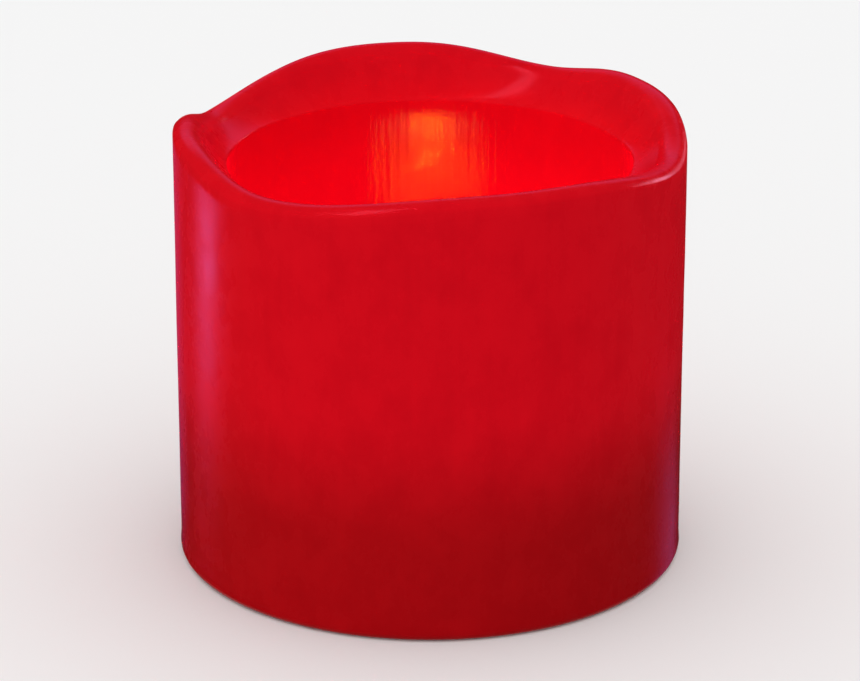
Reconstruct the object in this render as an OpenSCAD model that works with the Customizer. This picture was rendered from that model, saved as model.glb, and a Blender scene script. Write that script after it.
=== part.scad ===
// Flameless LED candle: a short wax pillar with a melted rim round a hollow, and in its foot a
// battery module that carries a lamp on the axis.
// Millimetres. +Z is up, the origin is the centre of the rest face, and -Y is the front.

/* [Wax body] */
// Diameter of the wax body
candle_d = 76; // [76:1:120]
// Height of the wax body at the highest crest of its rim
candle_h = 68.4; // [60:0.2:120]
// Thickness of the wax round the hollow
wax_wall = 8; // [5:0.5:8]
// Radius of the rounded bottom edge
base_edge_r = 1.2; // [0.5:0.1:1.5]
// Width of the rounded lip on top of the wall
lip_w = 4.2; // [3:0.1:4.5]
// How far the lip's two edges lie below its crown
lip_fall = 1.3; // [0.5:0.1:2]
// Depth of the ring where the straight hollow starts, below the highest crest
ledge_drop = 7.4; // [6:0.1:12]

/* [Module] */
// Height of the battery module's roof above the rest face
module_top = 28; // [26:0.5:34]
// Wall thickness of the module's cup
cup_wall = 1.2; // [1:0.1:1.6]
// Thickness of the module's roof
roof_t = 1.6; // [1.2:0.1:2]
// Thickness of the base flange
flange_t = 3; // [2.6:0.1:4]
// How much wider the flange is than the hollow, on each side
flange_step = 3; // [2:0.1:3.5]
// How far the base is set in above the rest face
base_recess = 0.8; // [0.6:0.1:2]

/* [Lamp] */
// Outer diameter of the frosted lamp sleeve
sleeve_d = 14; // [12:0.5:20]
// Height of the lamp sleeve above the module's roof
sleeve_h = 19.6; // [16:0.2:24]
// Wall thickness of the lamp sleeve
sleeve_wall = 1.2; // [0.8:0.1:1.6]
// Diameter of the light-emitting diode's body
led_d = 5; // [3:0.1:6]

/* [Battery bay] */
// Thickness of the battery door
door_t = 1.6; // [1.2:0.1:2]
// Thickness of the battery bay's walls
bay_wall = 1; // [0.8:0.1:1]
// Width of the ledge that the door closes against
door_ledge = 2.25; // [1.8:0.05:2.5]
// Thickness of the contact plates
plate_t = 0.4; // [0.3:0.1:0.5]

/* [Switch] */
// Travel of the slide switch from one position to the next
switch_step = 2; // [1.5:0.1:2.5]
// Distance of the slide switch from the candle's axis
switch_y = 20.5; // [19.5:0.1:21]

/* [Circuit board] */
// Length of the circuit board
board_l = 28; // [24:0.5:32]
// Width of the circuit board
board_w = 18; // [16:0.5:22]
// Thickness of the circuit board
board_t = 1.2; // [1:0.1:1.6]

/* [Clearances] */
// Gap between the module and the wax, all round
wax_gap = 0.3; // [0.2:0.1:0.6]
// Thickness of the glue between the flange and the wax
glue_t = 0.8; // [0.4:0.1:1.2]
// Gap round a moving piece
move_gap = 0.2; // [0.15:0.05:0.3]
// Gap between moulded pieces that fit together
fit_gap = 0.15; // [0.1:0.05:0.2]
// Radial gap of a pin, a screw or a lamp in its hole
pin_gap = 0.05; // [0.03:0.01:0.08]

/* [Hidden] */
$fn = 64;

// Cuts run this far past the face they open
past = 1;

// Wax body: radii, and the rim's crests and dips as [degrees round from the front, depth below
// the highest crest], with +X at 90 degrees
candle_r = candle_d / 2;
bore_r = candle_r - wax_wall;
counterbore_r = bore_r + flange_step;
ledge_z = candle_h - ledge_drop;
rim_marks = [
    [-170, 0], [-115, 4.5], [-86, 1.4], [-42, 4.3], [20, 1.4], [76, 4.5], [120, 0.5], [150, 2.4]
];
// Over 1, it makes the dips narrower than the crests
rim_pinch = 1.5;
rim_steps = 72;
// How square the lip's top is, and how quickly the wax flares below it down to the ring
lip_power = 2.2;
flare_power = 1.3;

// Module levels and radii
flange_r = counterbore_r - wax_gap;
flange_z = base_recess + flange_t;
cup_r = bore_r - wax_gap;
cup_bore_r = cup_r - cup_wall;
roof_z = module_top - roof_t;
skirt_r = cup_bore_r - fit_gap;
skirt_t = 1.2;
skirt_h = 3;

// Housing screws, in columns that hang from the roof
column_r = 2.6;
column_ring_r = skirt_r - skirt_t - fit_gap - column_r;
column_angles = [49, 131, 270];
screw_r = 1.2;
screw_head_r = 2.4;
screw_head_h = 1.3;
screw_grip = 9;
screw_sink = 0.2;

// Standard AAA cells, lying along X: the front one points to +X and the rear one to -X
cell_d = 10.5;
cell_l = 44.5;
cell_nub_d = 3.8;
cell_nub_h = 0.8;
cell_edge_r = 0.5;
cell_side_gap = 0.4;
cell_pitch = cell_d + 0.7;
spring_l = 3.7;

// Battery bay
door_top_z = base_recess + door_t;
ledge_under_z = door_top_z + move_gap / 2;
cell_z = ledge_under_z + cell_side_gap + cell_d / 2;
bay_half_l = (cell_l + spring_l) / 2 + plate_t;
bay_half_w = cell_pitch / 2 + cell_d / 2 + cell_side_gap;
bay_top_z = cell_z + cell_d / 2 + cell_side_gap;
bay_roof_t = 1.2;
bay_roof_z = bay_top_z + bay_roof_t;

// Battery door: hooks along its front edge, and a spring tongue at the middle of its rear edge
door_half_l = bay_half_l + door_ledge - bay_wall;
door_half_w = bay_half_w + door_ledge;
hook_x = 15;
hook_w = 5;
hook_reach = 1.9;
hook_t = 0.8;
hook_lip_t = 0.6;
hook_slot_reach = 2.6;
tongue_w = 10;
tongue_l = 7;
tongue_slit = 1;
notch_reach = 2.6;
grip_count = 3;
grip_pitch = 1.6;
grip_depth = 0.4;

// Contacts
plate_w = 8.8;
plate_z = ledge_under_z + 1;
plate_h = 9.4;
tab_w = 3;
tab_z = bay_roof_z + 2.4;
contact_x = bay_half_l - plate_t;
spring_turns = 4;
steps_a_turn = 16;
spring_sides = 6;
spring_wire_r = 0.35;
spring_wide_r = 4;
spring_narrow_r = 2.6;

// Slide switch: a metal frame with two ears, a slider, and a plate with three terminals
switch_l = 9;
switch_w = 5.4;
switch_h = 4.6;
frame_t = 0.4;
ear_reach = 4;
ear_t = 0.5;
ear_hole_x = switch_l / 2 + ear_reach / 2;
slider_l = 3.8;
slider_h = 2.4;
knob_l = 2.4;
knob_w = 2.2;
knob_sink = 0.3;
knob_ridges = 3;
ridge_gap = 0.3;
ridge_depth = 0.2;
slot_l = knob_l + 2 * (switch_step + move_gap);
slot_w = knob_w + 2 * move_gap;
finger_l = 14;
finger_w = 6;
finger_depth = 1;
insulator_t = 1.2;
terminal_pitch = 2.5;
terminal_w = 0.8;
terminal_t = 0.4;
terminal_h = 3;
terminal_top_z = flange_z + switch_h + terminal_h;
small_screw_r = 0.85;
small_head_r = 1.7;
small_head_h = 1.1;
small_grip = 3;
ear_grip = 2.2;

// Circuit board, hung from two posts under the roof
board_gap = 2.4;
board_top_z = roof_z - board_gap;
board_z = board_top_z - board_t;
post_r = 2.4;
post_x = board_l / 2 - 3;
lead_pitch = 2.54;
lead_w = 0.5;
lead_hole_r = 0.5;
lead_tail = 1;

// Lamp
sleeve_r = sleeve_d / 2;
sleeve_bore_r = sleeve_r - sleeve_wall;
sleeve_top_z = module_top + sleeve_h;
sleeve_edge_r = 0.8;
neck_wall = 1.6;
neck_h = 3;
led_r = led_d / 2;
led_rim_r = led_r + 0.4;
led_rim_h = 1;
led_body_h = 5.1;
led_stands_out = 1.2;
led_z = sleeve_top_z + led_stands_out - led_r - led_body_h - led_rim_h;
holder_wall = 1.4;
wire_hole_r = 4;

// Wires: each leaves its face squarely for a short run, and is soldered to a tab below its tip
wire_r = 0.55;
wire_sides = 8;
wire_steps = 5;
wire_run = 1.5;
tab_wire_z = tab_z - 1;

// Rim: the depth below the highest crest at an angle, and the wax surface at a depth in from
// the outer face

function turned(a) = a - 360 * floor((a - rim_marks[0][0]) / 360);

function mark(i) = i < len(rim_marks) ? rim_marks[i] : rim_marks[0] + [360, 0];

function span_at(a, i = 0) = a <= mark(i + 1)[0] ? i : span_at(a, i + 1);

function rim_drop(a) =
    let (
        b = turned(a),
        i = span_at(b),
        first = mark(i),
        last = mark(i + 1),
        t = (b - first[0]) / (last[0] - first[0]),
        from_crest = first[1] < last[1] ? t : 1 - t,
        low = max(first[1], last[1]),
        high = min(first[1], last[1])
    ) high + (low - high) * pow((1 - cos(180 * from_crest)) / 2, rim_pinch);

function lip_z(a, depth) =
    let (
        crown = candle_h - rim_drop(a),
        across = abs(2 * depth / lip_w - 1),
        inner = crown - lip_fall,
        t = min((depth - lip_w) / (wax_wall - lip_w), 1)
    ) depth < lip_w ? crown - lip_fall * pow(across, lip_power)
      : ledge_z + (inner - ledge_z) * pow(1 - t, flare_power);

// A point at an angle round from the front, at a radius
function around(a, r, z) = [r * sin(a), -r * cos(a), z];

// Sweeps: a smooth line through points, and the rings of a tube along it

function smooth(p, i, t) =
    let (
        a = p[max(i - 1, 0)],
        b = p[i],
        c = p[i + 1],
        d = p[min(i + 2, len(p) - 1)]
    ) b + t * (c - a) / 2 + t * t * (2 * a - 5 * b + 4 * c - d) / 2
      + t * t * t * (3 * b - a - 3 * c + d) / 2;

// The first and the last stretch stay straight, so that each end meets its face squarely
function smooth_line(p) = [
    p[0],
    for (i = [1:len(p) - 3], k = [0:wire_steps - 1]) smooth(p, i, k / wire_steps),
    p[len(p) - 2],
    p[len(p) - 1]
];

function unit(v) = v / norm(v);

function heading(line, i) = unit(line[min(i + 1, len(line) - 1)] - line[max(i - 1, 0)]);

// side is a direction that the line never runs along
module tube(line, r, sides, side) {
    last = len(line) - 1;
    points = [
        for (i = [0:last])
            let (
                u = unit(cross(side, heading(line, i))),
                v = cross(heading(line, i), u)
            )
            for (k = [0:sides - 1])
                line[i] + r * (cos(360 * k / sides) * u + sin(360 * k / sides) * v)
    ];
    walls = [
        for (i = [0:last - 1], k = [0:sides - 1])
            let (a = i * sides + k, b = i * sides + (k + 1) % sides)
            each [[a, a + sides, b], [b, a + sides, b + sides]]
    ];
    start_cap = [for (k = [1:sides - 2]) [0, k, k + 1]];
    end_cap = [for (k = [1:sides - 2]) [last * sides, last * sides + k + 1, last * sides + k]];
    polyhedron(points, concat(walls, start_cap, end_cap), convexity = 6);
}

module wire(route, side) {
    tube(smooth_line(route), wire_r, wire_sides, side);
}

// Plain shapes

module ring(outer_r, inner_r, z, h) {
    translate([0, 0, z]) difference() {
        cylinder(r = outer_r, h = h);
        translate([0, 0, -past]) cylinder(r = inner_r, h = h + 2 * past);
    }
}

// A box centred on X and Y, from z up
module block(size, x, y, z) {
    translate([x - size[0] / 2, y - size[1] / 2, z]) cube(size);
}

// A straight screw standing on its head, with a cross recess in the head
module screw(r, head_r, head_h, grip) {
    recess_l = head_r * 1.2;
    recess_t = head_r * 0.25;
    difference() {
        union() {
            cylinder(r = head_r, h = head_h);
            cylinder(r = r, h = head_h + grip);
        }
        block([recess_l, recess_t, head_h / 2 + past], 0, 0, -past);
        block([recess_t, recess_l, head_h / 2 + past], 0, 0, -past);
    }
}

module at_columns() {
    for (a = column_angles) rotate(a) translate([column_ring_r, 0, 0]) children();
}

module at_posts() {
    for (x = [-post_x, post_x]) translate([x, 0, 0]) children();
}

module at_ears() {
    for (x = [-ear_hole_x, ear_hole_x]) translate([x, switch_y, 0]) children();
}

// Wax body

// Everything above the rim's surface, as one solid to cut away
module above_rim() {
    // Depths in from the outer face at which the surface has a ring of points
    depths = [-2, -0.8, 0.4, 1.2, lip_w / 2, lip_w - 1.2, lip_w - 0.5,
              for (k = [0.1, 0.35, 0.6, 0.85, 1.15]) lip_w + k * (wax_wall - lip_w)];
    rings = len(depths);
    top_z = candle_h + past;
    count = rings * rim_steps;
    points = [
        for (d = depths, k = [0:rim_steps - 1])
            let (a = 360 * k / rim_steps) around(a, candle_r - d, lip_z(a, d)),
        for (k = [0:rim_steps - 1]) around(360 * k / rim_steps, candle_r - depths[0], top_z),
        [0, 0, ledge_z],
        [0, 0, top_z]
    ];
    floor_mid = count + rim_steps;
    top_mid = floor_mid + 1;
    surface = [
        for (i = [0:rings - 2], k = [0:rim_steps - 1])
            let (a = i * rim_steps + k, b = i * rim_steps + (k + 1) % rim_steps)
            each [[a, b, a + rim_steps], [b, b + rim_steps, a + rim_steps]]
    ];
    rest = [
        for (k = [0:rim_steps - 1])
            let (
                n = (k + 1) % rim_steps,
                inner = (rings - 1) * rim_steps
            )
            each [
                [inner + k, inner + n, floor_mid],
                [k, count + k, count + n],
                [k, count + n, n],
                [count + n, count + k, top_mid]
            ]
    ];
    polyhedron(points, concat(surface, rest), convexity = 8);
}

module wax_block() {
    rotate_extrude() {
        square([candle_r - base_edge_r, candle_h]);
        translate([0, base_edge_r]) square([candle_r, candle_h - base_edge_r]);
        translate([candle_r - base_edge_r, base_edge_r]) circle(base_edge_r);
    }
}

module wax_shell() {
    color("#c8102a") difference() {
        wax_block();
        translate([0, 0, -past]) cylinder(r = bore_r, h = candle_h + 2 * past);
        translate([0, 0, -past]) cylinder(r = counterbore_r, h = flange_z + glue_t + past);
        above_rim();
    }
}

module adhesive_ring() {
    color("#e8e2cc") ring(flange_r - wax_gap, cup_r + wax_gap, flange_z, glue_t);
}

// Module

module bay_shell() {
    intersection() {
        block([2 * (bay_half_l + bay_wall), 2 * (bay_half_w + bay_wall), bay_roof_z - flange_z],
              0, 0, flange_z);
        translate([0, 0, flange_z]) cylinder(r = skirt_r, h = bay_roof_z - flange_z);
    }
}

module base_tray() {
    slot_y = -door_half_w - hook_slot_reach;
    tab_slot_t = plate_t + fit_gap;
    color("#26272b") difference() {
        union() {
            translate([0, 0, base_recess]) cylinder(r = flange_r, h = flange_t);
            ring(skirt_r, skirt_r - skirt_t, flange_z, skirt_h);
            bay_shell();
        }
        // The bay, and the recess that the door lies in
        block([2 * bay_half_l, 2 * bay_half_w, bay_top_z], 0, 0, 0);
        block([2 * (door_half_l + move_gap), 2 * (door_half_w + move_gap), ledge_under_z], 0, 0, 0);
        // Slots that the door's hooks turn in, with a lip left under each hook
        for (x = [-hook_x, hook_x])
            translate([x - hook_w / 2 - move_gap, slot_y, base_recess + hook_lip_t])
                cube([hook_w + 2 * move_gap, -slot_y - bay_half_w - bay_wall, flange_t + past]);
        // Finger notch behind the tongue
        block([tongue_w + 2 * move_gap, 2 * notch_reach, ledge_under_z], 0, door_half_w, 0);
        // Slots for the contacts' solder tabs
        for (y = [-cell_pitch / 2, cell_pitch / 2])
            translate([bay_half_l - tab_slot_t, y - tab_w / 2 - fit_gap, bay_top_z - past])
                cube([tab_slot_t, tab_w + 2 * fit_gap, bay_roof_t + 2 * past]);
        // Switch: a shallow pocket for the fingertip, the knob's slot and the screws' pilots
        block([finger_l, finger_w, finger_depth + past], 0, switch_y, base_recess - past);
        block([slot_l, slot_w, flange_t + 2 * past], 0, switch_y, base_recess - past);
        at_ears() translate([0, 0, flange_z + ear_t - ear_grip])
            cylinder(r = small_screw_r + pin_gap, h = ear_grip + past);
        // Housing screws
        at_columns() {
            cylinder(r = screw_r + 2 * pin_gap, h = flange_z + past);
            cylinder(r = screw_head_r + fit_gap, h = base_recess + screw_sink + screw_head_h);
        }
    }
}

module battery_door() {
    hook_z = base_recess + hook_lip_t + pin_gap;
    slit_x = tongue_w / 2 - tongue_slit / 2;
    color("#2e2f33") difference() {
        union() {
            block([2 * door_half_l, 2 * door_half_w, door_t], 0, 0, base_recess);
            for (x = [-hook_x, hook_x])
                block([hook_w, 2 * hook_reach, hook_t], x, -door_half_w, hook_z);
            block([tongue_w - 2 * tongue_slit, 2 * (notch_reach - 1), hook_t],
                  0, door_half_w, base_recess);
        }
        for (x = [-slit_x, slit_x])
            block([tongue_slit, 2 * tongue_l, door_t + 2 * past], x, door_half_w,
                  base_recess - past);
        for (k = [1:grip_count])
            block([tongue_w / 2, grip_depth, grip_depth + past], 0,
                  door_half_w - k * grip_pitch, base_recess - past);
    }
}

module housing_cup() {
    neck_bore_r = sleeve_r + fit_gap;
    color("#303136") difference() {
        union() {
            ring(cup_r, cup_bore_r, flange_z, module_top - flange_z);
            translate([0, 0, roof_z]) cylinder(r = cup_r, h = roof_t);
            translate([0, 0, module_top]) cylinder(r = neck_bore_r + neck_wall, h = neck_h);
            at_columns() translate([0, 0, flange_z]) cylinder(r = column_r, h = roof_z - flange_z);
            at_posts() translate([0, 0, board_top_z]) cylinder(r = post_r, h = board_gap);
        }
        translate([0, 0, module_top]) cylinder(r = neck_bore_r, h = neck_h + past);
        translate([0, 0, roof_z - past]) cylinder(r = wire_hole_r, h = roof_t + 2 * past);
        at_columns() translate([0, 0, flange_z - past])
            cylinder(r = screw_r + pin_gap, h = screw_grip + past);
        at_posts() translate([0, 0, board_top_z - past])
            cylinder(r = small_screw_r + pin_gap, h = small_grip + past);
    }
}

module housing_screws() {
    color("silver") at_columns() translate([0, 0, base_recess + screw_sink])
        screw(screw_r, screw_head_r, screw_head_h, screw_grip);
}

// Lamp

module sleeve_profile() {
    square([sleeve_r, sleeve_h - sleeve_edge_r]);
    square([sleeve_r - sleeve_edge_r, sleeve_h]);
    translate([sleeve_r - sleeve_edge_r, sleeve_h - sleeve_edge_r]) circle(sleeve_edge_r);
}

module lamp_sleeve() {
    holder_z = led_z + led_rim_h;
    color("#f4efe2") difference() {
        translate([0, 0, module_top]) rotate_extrude() intersection() {
            sleeve_profile();
            square([sleeve_r, sleeve_h]);
        }
        difference() {
            translate([0, 0, module_top - past])
                cylinder(r = sleeve_bore_r, h = sleeve_h - sleeve_wall + past);
            ring(led_r + pin_gap + holder_wall, led_r + pin_gap, holder_z, sleeve_h);
        }
        translate([0, 0, module_top]) cylinder(r = led_r + pin_gap, h = sleeve_h + past);
    }
}

module led_lamp() {
    color("#ffb347") translate([0, 0, led_z]) {
        cylinder(r = led_rim_r, h = led_rim_h);
        cylinder(r = led_r, h = led_rim_h + led_body_h);
        translate([0, 0, led_rim_h + led_body_h]) sphere(led_r);
    }
}

module led_leads() {
    color("#c9ccd1") for (x = [-lead_pitch / 2, lead_pitch / 2])
        block([lead_w, lead_w, led_z - board_z + lead_tail], x, 0, board_z - lead_tail);
}

// Circuit board and what it carries

module circuit_board() {
    color("#1f6b3a") difference() {
        block([board_l, board_w, board_t], 0, 0, board_z);
        at_posts() translate([0, 0, board_z - past])
            cylinder(r = small_screw_r + 2 * pin_gap, h = board_t + 2 * past);
        for (x = [-lead_pitch / 2, lead_pitch / 2])
            translate([x, 0, board_z - past]) cylinder(r = lead_hole_r, h = board_t + 2 * past);
    }
}

module board_screws() {
    color("silver") at_posts() translate([0, 0, board_z - small_head_h])
        screw(small_screw_r, small_head_r, small_head_h, small_grip);
}

// A wire of a component: out along X from its body, then up to the board
module bent_lead(x, y, z, reach, r) {
    along = sign(reach);
    translate([x, y, z]) {
        rotate([0, 90 * along, 0]) cylinder(r = r, h = abs(reach));
        translate([reach, 0, 0]) sphere(r);
        translate([reach, 0, 0]) cylinder(r = r, h = board_z - z);
    }
}

module control_chip() {
    x = -4.6;
    y = -4.4;
    spread_r = 3.6;
    rise = 1.5;
    dome_r = (spread_r * spread_r + rise * rise) / (2 * rise);
    color("#111111") translate([x, y, board_z - rise]) intersection() {
        translate([0, 0, dome_r]) sphere(dome_r);
        cylinder(r = spread_r + past, h = rise);
    }
}

module resistor() {
    x = 4.6;
    y = 5.2;
    z = board_z - 1.4;
    body_r = 0.9;
    body_l = 3.6;
    cap_r = 1.1;
    cap_l = 0.9;
    lead_r = 0.25;
    lead_reach = 1.6;
    color("#d8c08c") {
        translate([x, y, z]) rotate([0, 90, 0]) {
            translate([0, 0, -body_l / 2]) cylinder(r = body_r, h = body_l);
            for (end = [-body_l / 2, body_l / 2])
                translate([0, 0, end - cap_l / 2]) cylinder(r = cap_r, h = cap_l);
        }
        for (side = [-1, 1])
            bent_lead(x + side * body_l / 2, y, z, side * lead_reach, lead_r);
    }
}

module capacitor() {
    x = 5.2;
    y = -4.6;
    can_r = 2;
    can_h = 5;
    foot_h = 0.5;
    foot_r = 0.25;
    foot_pitch = 2;
    color("#20305c") translate([x, y, board_z - foot_h - can_h]) {
        cylinder(r = can_r, h = can_h);
        for (side = [-1, 1]) translate([side * foot_pitch / 2, 0, 0])
            cylinder(r = foot_r, h = can_h + foot_h);
    }
}

module timer_crystal() {
    can_r = 1;
    can_l = 6;
    x = -3.2;
    y = 5.2;
    z = board_z - can_r - pin_gap * 2;
    lead_r = 0.18;
    lead_reach = 1.1;
    lead_spread = 0.45;
    color("#b9bcc2") {
        translate([x, y, z]) rotate([0, -90, 0]) cylinder(r = can_r, h = can_l);
        for (side = [-1, 1]) bent_lead(x, y + side * lead_spread, z, lead_reach, lead_r);
    }
}

// Cells and contacts

module cell() {
    body_l = cell_l - cell_nub_h;
    color("#3b6ea8") rotate([0, 90, 0]) rotate_extrude() {
        translate([0, cell_edge_r]) square([cell_d / 2, body_l - 2 * cell_edge_r]);
        square([cell_d / 2 - cell_edge_r, body_l]);
        square([cell_nub_d / 2, cell_l]);
        for (y = [cell_edge_r, body_l - cell_edge_r])
            translate([cell_d / 2 - cell_edge_r, y]) circle(cell_edge_r);
    }
}

module battery_front() {
    translate([contact_x - cell_l, -cell_pitch / 2, cell_z]) cell();
}

module battery_rear() {
    translate([cell_l - contact_x, cell_pitch / 2, cell_z]) rotate(180) cell();
}

module bridge_contact() {
    color("#c8cdd2") block([plate_t, cell_pitch + plate_w, plate_h],
                           -contact_x - plate_t / 2, 0, plate_z);
}

module tab_contact(y) {
    color("#c8cdd2") {
        block([plate_t, plate_w, plate_h], contact_x + plate_t / 2, y, plate_z);
        block([plate_t, tab_w, tab_z - plate_z], contact_x + plate_t / 2, y, plate_z);
    }
}

module positive_contact() {
    tab_contact(-cell_pitch / 2);
}

module negative_contact() {
    tab_contact(cell_pitch / 2);
}

// A cone-shaped coil that rises from a contact plate at the origin along +Z
module contact_spring() {
    steps = steps_a_turn * spring_turns;
    rise = spring_l - 2 * (spring_wire_r + pin_gap);
    line = [
        for (i = [0:steps])
            let (
                t = i / steps,
                a = 360 * spring_turns * t,
                r = spring_wide_r + (spring_narrow_r - spring_wide_r) * t
            )
            [r * cos(a), r * sin(a), spring_wire_r + pin_gap + rise * t]
    ];
    tube(line, spring_wire_r, spring_sides, [0, 0, 1]);
}

module contact_springs() {
    color("#dfe3e6") {
        translate([-contact_x, -cell_pitch / 2, cell_z]) rotate([0, 90, 0]) contact_spring();
        translate([contact_x, cell_pitch / 2, cell_z]) rotate([0, -90, 0]) contact_spring();
    }
}

// Slide switch

module switch_frame() {
    inner_l = switch_l - 2 * frame_t;
    inner_w = switch_w - 2 * frame_t;
    color("#aeb3b8") difference() {
        union() {
            block([switch_l, switch_w, switch_h], 0, switch_y, flange_z);
            block([switch_l + 2 * ear_reach, switch_w, ear_t], 0, switch_y, flange_z);
        }
        block([inner_l, inner_w, switch_h + past], 0, switch_y, flange_z + frame_t);
        block([slot_l, slot_w, frame_t + 2 * past], 0, switch_y, flange_z - past);
        at_ears() translate([0, 0, flange_z - past])
            cylinder(r = small_screw_r + 2 * pin_gap, h = ear_t + 2 * past);
    }
}

module switch_base() {
    color("#8a5a2b") block([switch_l - 2 * frame_t, switch_w - 2 * frame_t, insulator_t], 0,
                           switch_y, flange_z + switch_h - insulator_t);
}

module switch_terminals() {
    color("#d9c27a") for (k = [-1, 0, 1])
        block([terminal_w, terminal_t, terminal_h], k * terminal_pitch, switch_y,
              flange_z + switch_h);
}

// At rest the slider is at the end of its slot where the lamp is on; off and timer follow
module switch_slider() {
    x = -switch_step;
    base_z = flange_z + frame_t + move_gap;
    knob_z = base_recess + knob_sink;
    block_w = switch_w - 2 * frame_t - 2 * move_gap;
    color("#e9e9e6") difference() {
        union() {
            block([slider_l, block_w, slider_h], x, switch_y, base_z);
            block([knob_l, knob_w, base_z - knob_z + slider_h], x, switch_y, knob_z);
        }
        for (k = [1:knob_ridges - 1])
            block([ridge_gap, knob_w + past, 2 * ridge_depth],
                  x - knob_l / 2 + k * knob_l / knob_ridges, switch_y, knob_z - ridge_depth);
    }
}

module switch_screws() {
    head_z = flange_z + ear_t;
    color("silver") at_ears() translate([0, 0, head_z + small_head_h]) mirror([0, 0, 1])
        screw(small_screw_r, small_head_r, small_head_h, ear_grip - pin_gap);
}

// Wires: each runs between faces of the pieces that it joins. The middle points set its slack

module wire_positive() {
    end_x = board_l / 2 - 2.5;
    end_y = -6.5;
    color("#b3261e") wire([
        [contact_x, -cell_pitch / 2, tab_wire_z],
        [contact_x - wire_run, -cell_pitch / 2, tab_wire_z],
        [contact_x - 6, -cell_pitch / 2 - 0.8, tab_z],
        [end_x + 2, end_y, board_z - 3.4],
        [end_x, end_y, board_z - wire_run],
        [end_x, end_y, board_z]
    ], [0, 1, 0]);
}

module wire_negative() {
    x = terminal_pitch;
    color("#1b1b1d") wire([
        [contact_x, cell_pitch / 2, tab_wire_z],
        [contact_x - wire_run, cell_pitch / 2, tab_wire_z],
        [contact_x - 5, cell_pitch / 2 + 1.4, tab_z - 0.4],
        [board_l / 2, cell_pitch + 1.8, tab_z + 0.5],
        [x + 3, switch_y - 1.6, terminal_top_z + 4.4],
        [x, switch_y, terminal_top_z + wire_run],
        [x, switch_y, terminal_top_z]
    ], [0.6, 0.8, 0]);
}

module wire_switch() {
    x = -terminal_pitch;
    end_x = x - 1.5;
    end_y = board_w / 2 - 1;
    color("#e8e8e6") wire([
        [x, switch_y, terminal_top_z],
        [x, switch_y, terminal_top_z + wire_run],
        [x - 0.8, switch_y - 3.6, board_z - 5],
        [x - 1.4, end_y + 2.4, board_z - 3.2],
        [end_x, end_y, board_z - wire_run],
        [end_x, end_y, board_z]
    ], [1, 0, 0]);
}

module wire_timer() {
    end_y = board_w / 2 - 1.2;
    color("#2f62b5") wire([
        [0, switch_y, terminal_top_z],
        [0, switch_y, terminal_top_z + wire_run],
        [0.4, switch_y - 4.2, board_z - 5.6],
        [0.3, end_y + 2.4, board_z - 3.6],
        [0, end_y, board_z - wire_run],
        [0, end_y, board_z]
    ], [1, 0, 0]);
}

wax_shell();
adhesive_ring();
base_tray();
battery_door();
housing_cup();
housing_screws();
lamp_sleeve();
led_lamp();
led_leads();
circuit_board();
board_screws();
control_chip();
resistor();
capacitor();
timer_crystal();
battery_front();
battery_rear();
bridge_contact();
positive_contact();
negative_contact();
contact_springs();
switch_frame();
switch_base();
switch_terminals();
switch_slider();
switch_screws();
wire_positive();
wire_negative();
wire_switch();
wire_timer();
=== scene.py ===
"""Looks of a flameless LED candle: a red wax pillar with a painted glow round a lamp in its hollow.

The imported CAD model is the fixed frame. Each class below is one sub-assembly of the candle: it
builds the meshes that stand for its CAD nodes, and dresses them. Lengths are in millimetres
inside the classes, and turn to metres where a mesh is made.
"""

import logging
import math
from dataclasses import dataclass
from enum import Enum
from typing import Callable, Iterable, Sequence

import bmesh
import bpy
from mathutils import Matrix, Vector, noise


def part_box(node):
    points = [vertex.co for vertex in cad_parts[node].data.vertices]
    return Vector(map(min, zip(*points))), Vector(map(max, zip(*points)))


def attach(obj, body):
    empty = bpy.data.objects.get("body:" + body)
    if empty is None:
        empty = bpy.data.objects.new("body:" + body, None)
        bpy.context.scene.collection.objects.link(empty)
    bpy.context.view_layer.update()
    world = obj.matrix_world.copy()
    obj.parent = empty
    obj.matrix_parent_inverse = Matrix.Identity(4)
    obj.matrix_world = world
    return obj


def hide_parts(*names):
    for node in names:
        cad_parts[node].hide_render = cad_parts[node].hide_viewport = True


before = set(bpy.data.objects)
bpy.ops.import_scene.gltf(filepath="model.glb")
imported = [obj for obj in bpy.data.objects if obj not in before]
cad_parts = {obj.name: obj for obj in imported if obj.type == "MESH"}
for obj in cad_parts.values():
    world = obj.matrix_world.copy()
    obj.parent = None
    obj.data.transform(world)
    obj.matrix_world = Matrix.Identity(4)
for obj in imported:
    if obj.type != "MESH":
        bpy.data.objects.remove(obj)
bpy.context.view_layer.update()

MM = 0.001
LOG = logging.getLogger("candle")
Point = tuple[float, float, float]
Profile = list[tuple[float, float]]


class Body(Enum):
    """The rigid bodies that pieces ride on."""

    CANDLE = "candle"
    DOOR = "door"
    SLIDER = "slider"


class Axis(Enum):
    """The axis that a turned piece or a drawn line runs along."""

    X = 0
    Y = 1
    Z = 2


# ---------------------------------------------------------------------------------- nodes


def linear(code: str) -> tuple[float, float, float, float]:
    """Turns an sRGB hex code into a linear colour.

    Args:
        code: Six hex digits after a hash.

    Returns:
        Red, green, blue and alpha, linear.
    """
    digits = code.lstrip("#")
    values = [int(digits[i:i + 2], 16) / 255 for i in (0, 2, 4)]
    turned = [v / 12.92 if v <= 0.04045 else ((v + 0.055) / 1.055) ** 2.4 for v in values]
    return (*turned, 1.0)


def add(tree: bpy.types.NodeTree, kind: str, sockets: dict | None = None,
        **settings: object) -> bpy.types.Node:
    """Adds a node with its settings and its inputs.

    Args:
        tree: The node tree to add to.
        kind: The node's type name.
        sockets: Input name or number to a value, or to an output socket to link.
        **settings: Properties of the node itself.

    Returns:
        The new node.
    """
    node = tree.nodes.new(kind)
    for name, value in settings.items():
        setattr(node, name, value)
    for key, value in (sockets or {}).items():
        if isinstance(value, bpy.types.NodeSocket):
            tree.links.new(value, node.inputs[key])
        else:
            node.inputs[key].default_value = value
    return node


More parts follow.
